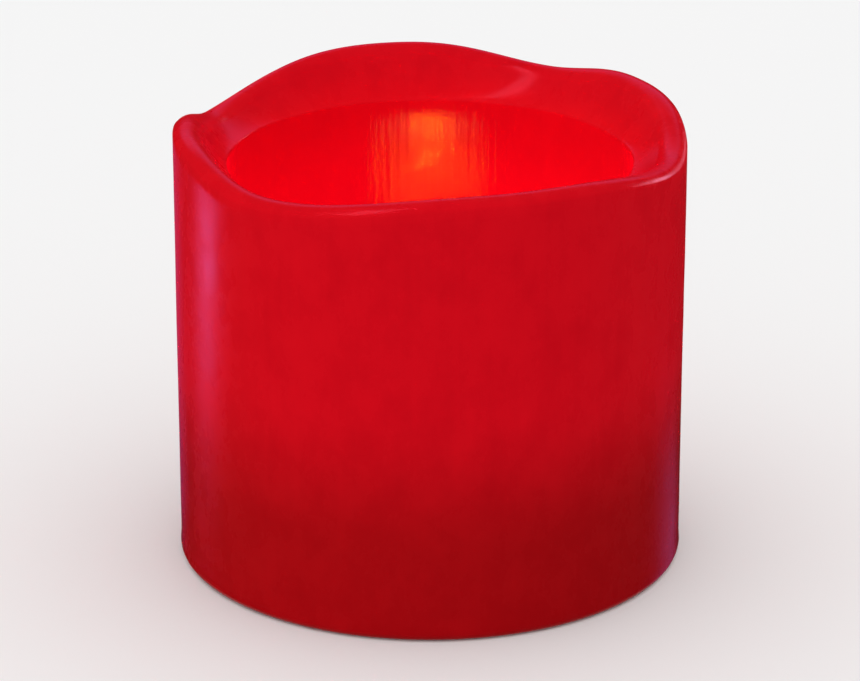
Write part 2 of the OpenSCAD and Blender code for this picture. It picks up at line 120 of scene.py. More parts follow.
def blank_material(name: str) -> tuple[bpy.types.Material, bpy.types.NodeTree]:
    """Makes a material with an empty node tree."""
    material = bpy.data.materials.new(name)
    material.use_nodes = True
    material.node_tree.nodes.clear()
    return material, material.node_tree


def object_point(tree: bpy.types.NodeTree) -> bpy.types.NodeSocket:
    """The shaded point in the piece's own coordinates, in millimetres."""
    place = add(tree, "ShaderNodeTexCoord").outputs["Object"]
    scaled = add(tree, "ShaderNodeVectorMath", {0: place, "Scale": 1 / MM}, operation="SCALE")
    return scaled.outputs["Vector"]


def grained(tree: bpy.types.NodeTree, point: bpy.types.NodeSocket, size: Point,
            detail: float = 3.0) -> bpy.types.NodeSocket:
    """A noise pattern whose features are of a given size along each axis.

    Args:
        tree: The material's node tree.
        point: The shaded point, in millimetres.
        size: Width of a feature along X, Y and Z, in millimetres.
        detail: How many finer layers the noise has.

    Returns:
        The noise, from 0 to 1.
    """
    scaled = add(tree, "ShaderNodeMapping",
                 {"Vector": point, "Scale": tuple(1 / s for s in size)})
    pattern = add(tree, "ShaderNodeTexNoise",
                  {"Vector": scaled.outputs[0], "Scale": 1.0, "Detail": detail,
                   "Roughness": 0.6})
    return pattern.outputs["Fac"]


def spread(tree: bpy.types.NodeTree, value: bpy.types.NodeSocket, low: float,
           high: float, start: float = 0.3, end: float = 0.7,
           bend: str = "LINEAR") -> bpy.types.NodeSocket:
    """Maps a value that runs from start to end onto low to high."""
    mapped = add(tree, "ShaderNodeMapRange",
                 {"Value": value, "From Min": start, "From Max": end, "To Min": low,
                  "To Max": high}, interpolation_type=bend)
    return mapped.outputs[0]


def blend(tree: bpy.types.NodeTree, share: object, first: object, second: object,
          kind: str = "MIX") -> bpy.types.NodeSocket:
    """Mixes two colours, each given as a value or a socket."""
    mixed = add(tree, "ShaderNodeMix", {0: share, 6: first, 7: second}, data_type="RGBA",
                blend_type=kind)
    return mixed.outputs[2]


def shade(tree: bpy.types.NodeTree, code: str, factor: bpy.types.NodeSocket
          ) -> bpy.types.NodeSocket:
    """A colour made lighter and darker by a factor that varies over the surface."""
    return blend(tree, 1.0, linear(code), factor, "MULTIPLY")


def relief(tree: bpy.types.NodeTree, height: bpy.types.NodeSocket, strength: float,
           depth_mm: float) -> bpy.types.NodeSocket:
    """A bumped normal from a height pattern."""
    bump = add(tree, "ShaderNodeBump",
               {"Strength": strength, "Distance": depth_mm * MM, "Height": height})
    return bump.outputs[0]


def close_shader(tree: bpy.types.NodeTree, sockets: dict) -> None:
    """Ends a tree with a Principled shader and the output."""
    shader = add(tree, "ShaderNodeBsdfPrincipled", sockets)
    add(tree, "ShaderNodeOutputMaterial", {"Surface": shader.outputs[0]})


# ---------------------------------------------------------------------------------- meshes


def piece_from(name: str, points: Iterable[Point], faces: Iterable[Sequence[int]],
               smooth: bool = True) -> bpy.types.Object:
    """Makes an object from points in millimetres.

    Args:
        name: The piece's name.
        points: Its points, in millimetres.
        faces: Its faces, as point numbers.
        smooth: Whether its faces are shaded smooth.

    Returns:
        The new object, at the origin.
    """
    mesh = bpy.data.meshes.new(name)
    mesh.from_pydata([Vector(p) * MM for p in points], [], [tuple(f) for f in faces])
    mesh.polygons.foreach_set("use_smooth", [smooth] * len(mesh.polygons))
    mesh.update()
    piece = bpy.data.objects.new(name, mesh)
    bpy.context.scene.collection.objects.link(piece)
    return piece


def dress(piece: bpy.types.Object, materials: Sequence[bpy.types.Material], body: Body,
          slot: str, *nodes: str) -> bpy.types.Object:
    """Gives a piece its materials and its body, and hides the CAD nodes that it stands for."""
    piece.data.materials.clear()
    for material in materials:
        piece.data.materials.append(material)
    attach(piece, body.value)
    if nodes:
        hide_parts(*nodes)
    LOG.info("%s: %d faces, on %s", piece.name, len(piece.data.polygons), body.value)
    return piece


def node_box(node: str) -> tuple[Vector, Vector]:
    """Lowest and highest corner of a CAD node, in millimetres."""
    low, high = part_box(node)
    return Vector(low) / MM, Vector(high) / MM


def rounded(corners: Sequence[tuple[float, float, float]], steps: int = 5,
            closed: bool = True) -> Profile:
    """Rounds the corners of a profile.

    Args:
        corners: Radius from the axis, height, and the corner's own rounding, in millimetres.
        steps: How many stretches each rounded corner has.
        closed: Whether the last corner joins the first.

    Returns:
        The rounded profile.
    """
    points: Profile = []
    count = len(corners)
    for i, (r, z, soft) in enumerate(corners):
        ends = not closed and i in (0, count - 1)
        if soft <= 0 or ends:
            points.append((r, z))
            continue
        here = Vector((r, z))
        before = (Vector(corners[i - 1][:2]) - here).normalized()
        after = (Vector(corners[(i + 1) % count][:2]) - here).normalized()
        for k in range(steps + 1):
            t = k / steps
            bent = here + before * soft * (1 - t) ** 2 + after * soft * t ** 2
            points.append((bent.x, bent.y))
    return points


def turned(name: str, profile: Profile, steps: int = 64, centre: Point = (0, 0, 0),
           axis: Axis = Axis.Z, flip: bool = False, closed: bool = True) -> bpy.types.Object:
    """Turns a profile round an axis into a closed solid.

    Args:
        name: The piece's name.
        profile: Radius and height of each point, counter-clockwise in the radius and height
            plane. A profile that isn't closed starts and ends on the axis.
        steps: How many sides the solid has.
        centre: Where its axis starts, in millimetres.
        axis: The axis that heights run along.
        flip: Whether heights run towards the axis's negative end.
        closed: Whether the last point of the profile joins the first.

    Returns:
        The new object.
    """
    points: list[Point] = []
    rings: list[list[int]] = []
    for r, z in profile:
        first = len(points)
        sides = 1 if r < 1e-6 else steps
        points += [(r * math.cos(2 * math.pi * k / steps), r * math.sin(2 * math.pi * k / steps), z)
                   for k in range(sides)]
        rings.append([first + k % sides for k in range(steps)])
    faces = []
    pairs = list(zip(rings, rings[1:])) + ([(rings[-1], rings[0])] if closed else [])
    for low, high in pairs:
        for k in range(steps):
            n = (k + 1) % steps
            corners = dict.fromkeys((low[k], low[n], high[n], high[k]))
            if len(corners) > 2:
                faces.append(list(corners))
    aim = {Axis.X: Vector((1, 0, 0)), Axis.Y: Vector((0, 1, 0)), Axis.Z: Vector((0, 0, 1))}[axis]
    turn = (-aim if flip else aim).to_track_quat("Z", "Y").to_matrix()
    placed = [turn @ Vector(p) + Vector(centre) for p in points]
    return piece_from(name, placed, faces)


def loose_parts(node: str) -> list[bpy.types.Mesh]:
    """The separate solids of a CAD node, each as a mesh of its own, sorted by place."""
    whole = bmesh.new()
    whole.from_mesh(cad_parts[node].data)
    bmesh.ops.remove_doubles(whole, verts=whole.verts, dist=1e-7)
    seen: set[int] = set()
    found = []
    for start in whole.verts:
        if start.index in seen:
            continue
        group, edge = {start.index}, [start]
        while edge:
            for link in edge.pop().link_edges:
                for vert in link.verts:
                    if vert.index not in group:
                        group.add(vert.index)
                        edge.append(vert)
        seen |= group
        part = whole.copy()
        part.verts.ensure_lookup_table()
        bmesh.ops.delete(part, geom=[v for v in part.verts if v.index not in group],
                         context="VERTS")
        mesh = bpy.data.meshes.new(f"{node}_part")
        part.to_mesh(mesh)
        part.free()
        found.append(mesh)
    whole.free()
    return sorted(found, key=lambda m: tuple(round(c, 5) for c in mesh_centre(m)))


def mesh_centre(mesh: bpy.types.Mesh) -> Vector:
    """The middle of a mesh's box, in metres."""
    low = Vector(min(v.co[i] for v in mesh.vertices) for i in range(3))
    high = Vector(max(v.co[i] for v in mesh.vertices) for i in range(3))
    return (low + high) / 2


def edge_softened(name: str, source: bpy.types.Mesh, soft_mm: float,
                  steps: int = 2) -> bpy.types.Object:
    """Copies a CAD mesh, with its sharp outer edges rounded off as a mould leaves them.

    Args:
        name: The new piece's name.
        source: The CAD mesh.
        soft_mm: Width of the rounding, in millimetres.
        steps: How many stretches the rounding has.

    Returns:
        The new object, a plain mesh with clean shading.
    """
    work = bmesh.new()
    work.from_mesh(source)
    bmesh.ops.remove_doubles(work, verts=work.verts, dist=1e-7)
    bmesh.ops.dissolve_limit(work, angle_limit=math.radians(0.5), verts=work.verts,
                             edges=work.edges)
    weight = work.edges.layers.float.new("bevel_weight_edge")
    for line in work.edges:
        if len(line.link_faces) == 2 and line.calc_face_angle_signed() > math.radians(40):
            line[weight] = 1.0
    mesh = bpy.data.meshes.new(name)
    work.to_mesh(mesh)
    work.free()
    mesh.polygons.foreach_set("use_smooth", [True] * len(mesh.polygons))
    carrier = bpy.data.objects.new(name, mesh)
    bpy.context.scene.collection.objects.link(carrier)
    bevel = carrier.modifiers.new("soft edges", "BEVEL")
    bevel.limit_method, bevel.width, bevel.segments = "WEIGHT", soft_mm * MM, steps
    bevel.use_clamp_overlap = True
    weighted = carrier.modifiers.new("flat faces stay flat", "WEIGHTED_NORMAL")
    weighted.keep_sharp = True
    mesh.set_sharp_from_angle(angle=math.radians(50))
    return flattened(carrier)


def tube_softened(name: str, source: bpy.types.Mesh) -> bpy.types.Object:
    """Copies a faceted CAD tube as a smooth one, with its ends kept flat."""
    work = bmesh.new()
    work.from_mesh(source)
    bmesh.ops.remove_doubles(work, verts=work.verts, dist=1e-7)
    bmesh.ops.dissolve_limit(work, angle_limit=math.radians(0.5), verts=work.verts,
                             edges=work.edges)
    tris = [f for f in work.faces if len(f.verts) == 3]
    bmesh.ops.join_triangles(work, faces=tris, angle_face_threshold=math.radians(40),
                             angle_shape_threshold=math.radians(80))
    crease = work.edges.layers.float.new("crease_edge")
    for line in work.edges:
        if len(line.link_faces) == 2 and line.calc_face_angle() > math.radians(60):
            line[crease] = 1.0
    mesh = bpy.data.meshes.new(name)
    work.to_mesh(mesh)
    work.free()
    mesh.polygons.foreach_set("use_smooth", [True] * len(mesh.polygons))
    carrier = bpy.data.objects.new(name, mesh)
    bpy.context.scene.collection.objects.link(carrier)
    rounder = carrier.modifiers.new("round", "SUBSURF")
    rounder.levels = rounder.render_levels = 1
    return flattened(carrier)


def flattened(carrier: bpy.types.Object) -> bpy.types.Object:
    """Turns an object with modifiers into a plain mesh object of the same name."""
    name = carrier.name
    graph = bpy.context.evaluated_depsgraph_get()
    mesh = bpy.data.meshes.new_from_object(carrier.evaluated_get(graph))
    bpy.data.objects.remove(carrier)
    mesh.name = name
    piece = bpy.data.objects.new(name, mesh)
    bpy.context.scene.collection.objects.link(piece)
    return piece


Build = Callable[[bpy.types.NodeTree, dict[str, bpy.types.NodeSocket]], bpy.types.NodeSocket]


def grown(name: str, base: bpy.types.Mesh, inputs: dict[str, tuple[str, object]], build: Build,
          material: bpy.types.Material) -> bpy.types.Object:
    """Grows a piece with Geometry Nodes and leaves it as a plain mesh.

    Args:
        name: The piece's name.
        base: The mesh that the nodes start from.
        inputs: Name of each input to its socket type and its value.
        build: Adds the nodes, and returns the socket that carries the result.
        material: What the result is made of.

    Returns:
        The new object.
    """
    tree = bpy.data.node_groups.new(name, "GeometryNodeTree")
    tree.interface.new_socket("Geometry", in_out="INPUT", socket_type="NodeSocketGeometry")
    items = {key: tree.interface.new_socket(key, in_out="INPUT", socket_type=kind)
             for key, (kind, _) in inputs.items()}
    tree.interface.new_socket("Geometry", in_out="OUTPUT", socket_type="NodeSocketGeometry")
    entry = add(tree, "NodeGroupInput")
    result = build(tree, {socket.name: socket for socket in entry.outputs if socket.name})
    real = add(tree, "GeometryNodeRealizeInstances", {0: result})
    dressed = add(tree, "GeometryNodeSetMaterial",
                  {"Geometry": real.outputs[0], "Material": material})
    add(tree, "NodeGroupOutput", {0: dressed.outputs[0]})
    carrier = bpy.data.objects.new(name, base)
    bpy.context.scene.collection.objects.link(carrier)
    modifier = carrier.modifiers.new(name, "NODES")
    modifier.node_group = tree
    for key, (_, value) in inputs.items():
        modifier[items[key].identifier] = value
    return flattened(carrier)


def point_mesh(name: str, places: Sequence[Vector]) -> bpy.types.Mesh:
    """A mesh of loose points, given in metres."""
    mesh = bpy.data.meshes.new(name)
    mesh.from_pydata([tuple(p) for p in places], [], [])
    return mesh


def repeated(name: str, template: bpy.types.Object, places: Sequence[Vector],
             material: bpy.types.Material) -> bpy.types.Object:
    """Sets a copy of a template at each place, and removes the template.

    Args:
        name: The piece's name.
        template: The object to repeat, made round the origin.
        places: Where each copy goes, in metres.
        material: What the copies are made of.

    Returns:
        One object with all the copies.
    """
    def build(tree: bpy.types.NodeTree, given: dict) -> bpy.types.NodeSocket:
        """Instances of the template on the points."""
        dots = add(tree, "GeometryNodeMeshToPoints", {"Mesh": given["Geometry"]})
        shape = add(tree, "GeometryNodeObjectInfo", {"Object": given["Template"]})
        copies = add(tree, "GeometryNodeInstanceOnPoints",
                     {"Points": dots.outputs[0], "Instance": shape.outputs["Geometry"]})
        return copies.outputs[0]

    piece = grown(name, point_mesh(name, places),
                  {"Template": ("NodeSocketObject", template)}, build, material)
    bpy.data.objects.remove(template)
    return piece


def repeated_node(node: str, soft_mm: float, material: bpy.types.Material) -> bpy.types.Object:
    """Softens one solid of a CAD node, and repeats it wherever the node has one."""
    parts = loose_parts(node)
    places = [mesh_centre(part) for part in parts]
    parts[0].transform(Matrix.Translation(-places[0]))
    template = edge_softened(f"{node}_one", parts[0], soft_mm)
    return repeated(f"{node}_all", template, places, material)


def mix(a: float, b: float, t: float) -> float:
    """The value a share t of the way from a to b."""
    return a + (b - a) * t


def wander(x: float, y: float, z: float, seed: float) -> float:
    """Smooth noise between -1 and 1, the same on every run."""
    return noise.noise(Vector((x + seed, y - seed, z + 0.37 * seed)))


# ---------------------------------------------------------------------------------- finishes


class Finish:
    """What every finish has: a material that is built once and then shared."""

    _made: dict[str, bpy.types.Material] = {}

    def material(self) -> bpy.types.Material:
        """The material of this finish."""
        if self.name not in Finish._made:
            material, tree = blank_material(self.name)
            self.lay(tree, object_point(tree))
            Finish._made[self.name] = material
        return Finish._made[self.name]

    def lay(self, tree: bpy.types.NodeTree, point: bpy.types.NodeSocket) -> None:
        """Builds the material's nodes."""
        raise NotImplementedError


@dataclass(frozen=True)
class GlowingWax(Finish):
    """Dyed paraffin, lit from inside, shown as a painted glow that reddens and fades below the lamp.

    The mesh says, in an attribute of its points, how much of the hollow's painted glow each
    point shows in place of the outside's: none on the outside, and all of it on the hollow's wall.
    """

    name: str = "dyed paraffin, cast in a ground mould"
    colour: str = "#92040A"
    # Colours of the painted glow: on the outside, and on the wall of the hollow
    outer_painted_glow: str = "#84000D"
    inner_painted_glow: str = "#B7000E"
    # Heights over which the painted glow on the outside rises from none to full
    low_z: float = 12.5
    high_z: float = 37.0
    roughness: float = 0.27
    specular: float = 0.04
    relief_strength: float = 0.05
    # How much of the relief runs up the wall, and how much runs round it
    drawn_share: float = 1.0
    scored_share: float = 0.4

    def lay(self, tree: bpy.types.NodeTree, point: bpy.types.NodeSocket) -> None:
        """Mottled colour, drawn streaks and pits, and the painted glow over its height."""
        height = add(tree, "ShaderNodeSeparateXYZ", {0: point}).outputs["Z"]
        hollow_glow_share = add(tree, "ShaderNodeAttribute", attribute_name="thinness").outputs["Fac"]
        # Cooling wax clouds over patches a few millimetres wide, and draws streaks as it sets
        clouds = grained(tree, point, (5, 5, 7), 5.0)
        lines = grained(tree, point, (1.2, 1.2, 26))
        pits = grained(tree, point, (0.7, 0.7, 0.7))
        drag = grained(tree, point, (14, 14, 0.5))
        cloudy = spread(tree, clouds, 0.93, 1.06)
        lined = spread(tree, lines, 0.985, 1.015)
        mottled = add(tree, "ShaderNodeMath", {0: cloudy, 1: lined}, operation="MULTIPLY")
        # Painted glow: the outside shows the lamp's light as an emission that grows with height, so the
        # lower part is darker
        rise = spread(tree, height, 0.0, 1.0, self.low_z, self.high_z, "SMOOTHSTEP")
        lift = add(tree, "ShaderNodeMath", {0: rise, 1: mottled.outputs[0]},
                   operation="MULTIPLY")
        outer = blend(tree, lift.outputs[0], (0, 0, 0, 1), linear(self.outer_painted_glow))
        glow = blend(tree, hollow_glow_share, outer, linear(self.inner_painted_glow))
        # The painted glow on the hollow's wall is brightest level with the lamp, and dims towards the
        # rim
        near = spread(tree, height, 1.2, 0.72, 44, 62, "SMOOTHSTEP")
        fade = blend(tree, hollow_glow_share, (1, 1, 1, 1), near)
        lit = blend(tree, 1.0, glow, fade, "MULTIPLY")
        drawn = add(tree, "ShaderNodeMath", {0: lines, 1: self.drawn_share, 2: 0.0},
                    operation="MULTIPLY_ADD")
        scored = add(tree, "ShaderNodeMath", {0: drag, 1: self.scored_share,
                                              2: drawn.outputs[0]}, operation="MULTIPLY_ADD")
        rough = add(tree, "ShaderNodeMath", {0: pits, 1: 0.25, 2: scored.outputs[0]},
                    operation="MULTIPLY_ADD")
        close_shader(tree, {
            "Base Color": shade(tree, self.colour, mottled.outputs[0]),
            "Roughness": spread(tree, clouds, self.roughness - 0.04, self.roughness + 0.05),
            "IOR": 1.43, "Specular IOR Level": self.specular,
            "Normal": relief(tree, rough.outputs[0], self.relief_strength, 0.25),
            "Emission Color": lit, "Emission Strength": 1.0,
        })


@dataclass(frozen=True)
class MouldedPlastic(Finish):
    """An injection-moulded plastic, with the fine grain of a spark-eroded mould."""

    name: str
    colour: str
    roughness: float = 0.5
    grain_mm: float = 0.45
    bump: float = 0.2

    def lay(self, tree: bpy.types.NodeTree, point: bpy.types.NodeSocket) -> None:
        """Grain in the relief, and flow marks in the gloss."""
        grain = grained(tree, point, (self.grain_mm,) * 3, 4.0)
        flow = grained(tree, point, (14, 9, 9))
        close_shader(tree, {
            "Base Color": shade(tree, self.colour, spread(tree, grain, 0.88, 1.1)),
            "Roughness": spread(tree, flow, self.roughness - 0.07, self.roughness + 0.08),
            "Normal": relief(tree, grain, self.bump, 0.1), "IOR": 1.5,
        })


@dataclass(frozen=True)
class WorkedMetal(Finish):
    """A rolled, drawn or plated metal, with fine lines along one axis and dull spots."""

    name: str
    colour: str
    roughness: float = 0.32
    along: Axis = Axis.X

    def lay(self, tree: bpy.types.NodeTree, point: bpy.types.NodeSocket) -> None:
        """Drawn lines in the gloss and the relief, and dull spots in the colour."""
        size = [0.12, 0.12, 0.12]
        size[self.along.value] = 3.0
        lines = grained(tree, point, tuple(size))
        dull = grained(tree, point, (2.5, 2.5, 2.5), 4.0)
        close_shader(tree, {
            "Base Color": shade(tree, self.colour, spread(tree, dull, 0.86, 1.04)),
            "Metallic": 1.0,
            "Roughness": spread(tree, lines, self.roughness - 0.08, self.roughness + 0.12),
            "Normal": relief(tree, lines, 0.15, 0.03),
        })


@dataclass(frozen=True)
class EtchedAcrylic(Finish):
    """Acrylic etched inside: milky, and painted with a glow from the lamp over its whole height."""

    name: str = "acrylic, etched inside"
    colour: str = "#FFE3C4"
    # Colour and strength of the painted glow, and the heights where it starts, peaks and fades
    glow: str = "#FF5E10"
    strength: float = 1.75
    low_z: float = 29.0
    lamp_z: float = 39.0
    top_z: float = 48.0

    def lay(self, tree: bpy.types.NodeTree, point: bpy.types.NodeSocket) -> None:
        """Fine etching, and a painted glow that grows towards the lamp."""
        height = add(tree, "ShaderNodeSeparateXYZ", {0: point}).outputs["Z"]
        etch = grained(tree, point, (0.4, 0.4, 0.4))
        uneven = grained(tree, point, (2, 2, 4))
        # Painted glow: strongest level with the lamp, weaker below and above it, and patchy
        below = spread(tree, height, 0.25, 1.0, self.low_z, self.lamp_z, "SMOOTHSTEP")
        above = spread(tree, height, 1.0, 0.22, self.lamp_z, self.top_z, "SMOOTHSTEP")
        near = add(tree, "ShaderNodeMath", {0: below, 1: above}, operation="MULTIPLY")
        patchy = add(tree, "ShaderNodeMath",
                     {0: near.outputs[0], 1: spread(tree, uneven, 0.85, 1.1)},
                     operation="MULTIPLY")
        close_shader(tree, {
            "Base Color": shade(tree, self.colour, spread(tree, etch, 0.94, 1.0)),
            "Roughness": spread(tree, etch, 0.4, 0.55), "Alpha": 0.5,
            "Normal": relief(tree, etch, 0.2, 0.05),
            "Emission Color": blend(tree, patchy.outputs[0], (0, 0, 0, 1), linear(self.glow)),
            "Emission Strength": self.strength,
        })


@dataclass(frozen=True)
class LampEpoxy(Finish):
    """Clear amber epoxy cast round the chip, with a faint glow through its whole body."""

    name: str = "amber epoxy, cast clear"
    colour: str = "#FFB057"
    glow: str = "#FF7A10"
    strength: float = 9.0

    def lay(self, tree: bpy.types.NodeTree, point: bpy.types.NodeSocket) -> None:
        """A clear body with faint flow streaks in its gloss."""
        streak = grained(tree, point, (1, 1, 2))
        close_shader(tree, {
            "Base Color": linear(self.colour), "IOR": 1.54, "Alpha": 0.4,
            "Roughness": spread(tree, streak, 0.06, 0.14),
            "Emission Color": shade(tree, self.glow, spread(tree, streak, 0.8, 1.0)),
            "Emission Strength": self.strength,
        })


@dataclass(frozen=True)
class LitChip(Finish):
    """The chip on its cup and post: too bright for any detail, and dimmer towards its ends."""

    name: str = "lit chip on a plated post"
    colour: str = "#FFD9A0"
    glow: str = "#FF960A"
    strength: float = 620.0
    foot_z: float = 38.0
    chip_z: float = 41.4
    tip_z: float = 46.0

    def lay(self, tree: bpy.types.NodeTree, point: bpy.types.NodeSocket) -> None:
        """A glow that peaks level with the chip."""
        height = add(tree, "ShaderNodeSeparateXYZ", {0: point}).outputs["Z"]
        below = spread(tree, height, 0.2, 1.0, self.foot_z, self.chip_z, "SMOOTHSTEP")
        above = spread(tree, height, 1.0, 0.1, self.chip_z, self.tip_z, "SMOOTHSTEP")
        level = add(tree, "ShaderNodeMath", {0: below, 1: above}, operation="MULTIPLY")
        close_shader(tree, {
            "Base Color": linear(self.colour), "Roughness": 0.4,
            "Emission Color": blend(tree, level.outputs[0], (0, 0, 0, 1), linear(self.glow)),
            "Emission Strength": self.strength,
        })


@dataclass(frozen=True)
class CloudyGlue(Finish):
    """Hot-melt glue: milky, wet-looking, and lumpy where the bead was laid."""

    name: str = "hot-melt glue, laid as a bead"
    colour: str = "#DDD3B4"

    def lay(self, tree: bpy.types.NodeTree, point: bpy.types.NodeSocket) -> None:
        """Milky swirls, and soft lumps."""
        swirl = grained(tree, point, (1.6, 1.6, 1.0), 4.0)
        close_shader(tree, {
            "Base Color": shade(tree, self.colour, spread(tree, swirl, 0.85, 1.05)),
            "Roughness": spread(tree, swirl, 0.2, 0.34), "IOR": 1.49,
            "Subsurface Weight": 0.4, "Subsurface Radius": (1.2, 1.0, 0.7),
            "Subsurface Scale": MM, "Normal": relief(tree, swirl, 0.4, 0.3),
        })


@dataclass(frozen=True)
class PrintedFilm(Finish):
    """A cell's shrunk jacket: metallic ink under clear film, with a pale band near one end."""

    name: str
    colour: str
    band: str
    band_x: float
    band_half: float = 3.2

    def lay(self, tree: bpy.types.NodeTree, point: bpy.types.NodeSocket) -> None:
        """The band, and the film's fine wrinkles."""
        along = add(tree, "ShaderNodeSeparateXYZ", {0: point}).outputs["X"]
        off = add(tree, "ShaderNodeMath", {0: along, 1: self.band_x}, operation="SUBTRACT")
        away = add(tree, "ShaderNodeMath", {0: off.outputs[0]}, operation="ABSOLUTE")
        plain = spread(tree, away.outputs[0], 0.0, 1.0, self.band_half - 0.05,
                       self.band_half + 0.05)
        flakes = grained(tree, point, (0.25, 0.25, 0.25))
        wrinkles = grained(tree, point, (6, 1.2, 1.2))
        printed = blend(tree, plain, linear(self.band), linear(self.colour))
        close_shader(tree, {
            "Base Color": blend(tree, 1.0, printed, spread(tree, flakes, 0.9, 1.08),
                                "MULTIPLY"),
            "Metallic": 0.55, "Roughness": spread(tree, wrinkles, 0.24, 0.36),
            "Coat Weight": 0.6, "Coat Roughness": 0.12,
            "Normal": relief(tree, wrinkles, 0.12, 0.1),
        })


@dataclass(frozen=True)
class BoardLaminate(Finish):
    """Glass-fibre laminate under green solder mask, with copper tracks showing through."""

    name: str = "glass laminate, solder masked"
    mask: str = "#1C6A39"
    track: str = "#3C9457"

    def lay(self, tree: bpy.types.NodeTree, point: bpy.types.NodeSocket) -> None:
        """Right-angled tracks, raised a little, and the laminate's weave."""
        tracks = add(tree, "ShaderNodeTexBrick",
                     {"Vector": point, "Color1": (0, 0, 0, 1), "Color2": (0, 0, 0, 1),
                      "Mortar": (1, 1, 1, 1), "Scale": 1.0, "Mortar Size": 0.22,
                      "Mortar Smooth": 0.1, "Brick Width": 5.4, "Row Height": 2.1})
        weave = grained(tree, point, (0.6, 0.15, 0.6))
        raised = tracks.outputs["Fac"]
        close_shader(tree, {
            "Base Color": blend(tree, raised, shade(tree, self.mask,
                                                    spread(tree, weave, 0.92, 1.06)),
                                linear(self.track)),
            "Roughness": spread(tree, weave, 0.28, 0.4), "IOR": 1.52,
            "Normal": relief(tree, raised, 0.5, 0.04),
        })


@dataclass(frozen=True)
class BandedEnamel(Finish):
    """A resistor's dipped enamel with painted bands round it."""

    name: str
    enamel: str
    bands: tuple[str, ...]
    start_x: float
    pitch: float = 0.8
    half: float = 0.2

    def lay(self, tree: bpy.types.NodeTree, point: bpy.types.NodeSocket) -> None:
        """Each band over the enamel, and the enamel's soft lumps."""
        along = add(tree, "ShaderNodeSeparateXYZ", {0: point}).outputs["X"]
        lumps = grained(tree, point, (0.8, 0.8, 0.8))
        painted = shade(tree, self.enamel, spread(tree, lumps, 0.92, 1.05))
        for k, code in enumerate(self.bands):
            off = add(tree, "ShaderNodeMath", {0: along, 1: self.start_x + k * self.pitch},
                      operation="SUBTRACT")
            away = add(tree, "ShaderNodeMath", {0: off.outputs[0]}, operation="ABSOLUTE")
            on = spread(tree, away.outputs[0], 1.0, 0.0, self.half - 0.03, self.half + 0.03)
            painted = blend(tree, on, painted, linear(code))
        close_shader(tree, {
            "Base Color": painted, "Roughness": spread(tree, lumps, 0.25, 0.38),
            "Normal": relief(tree, lumps, 0.2, 0.1), "IOR": 1.5,
        })


# ---------------------------------------------------------------------------------- wax body


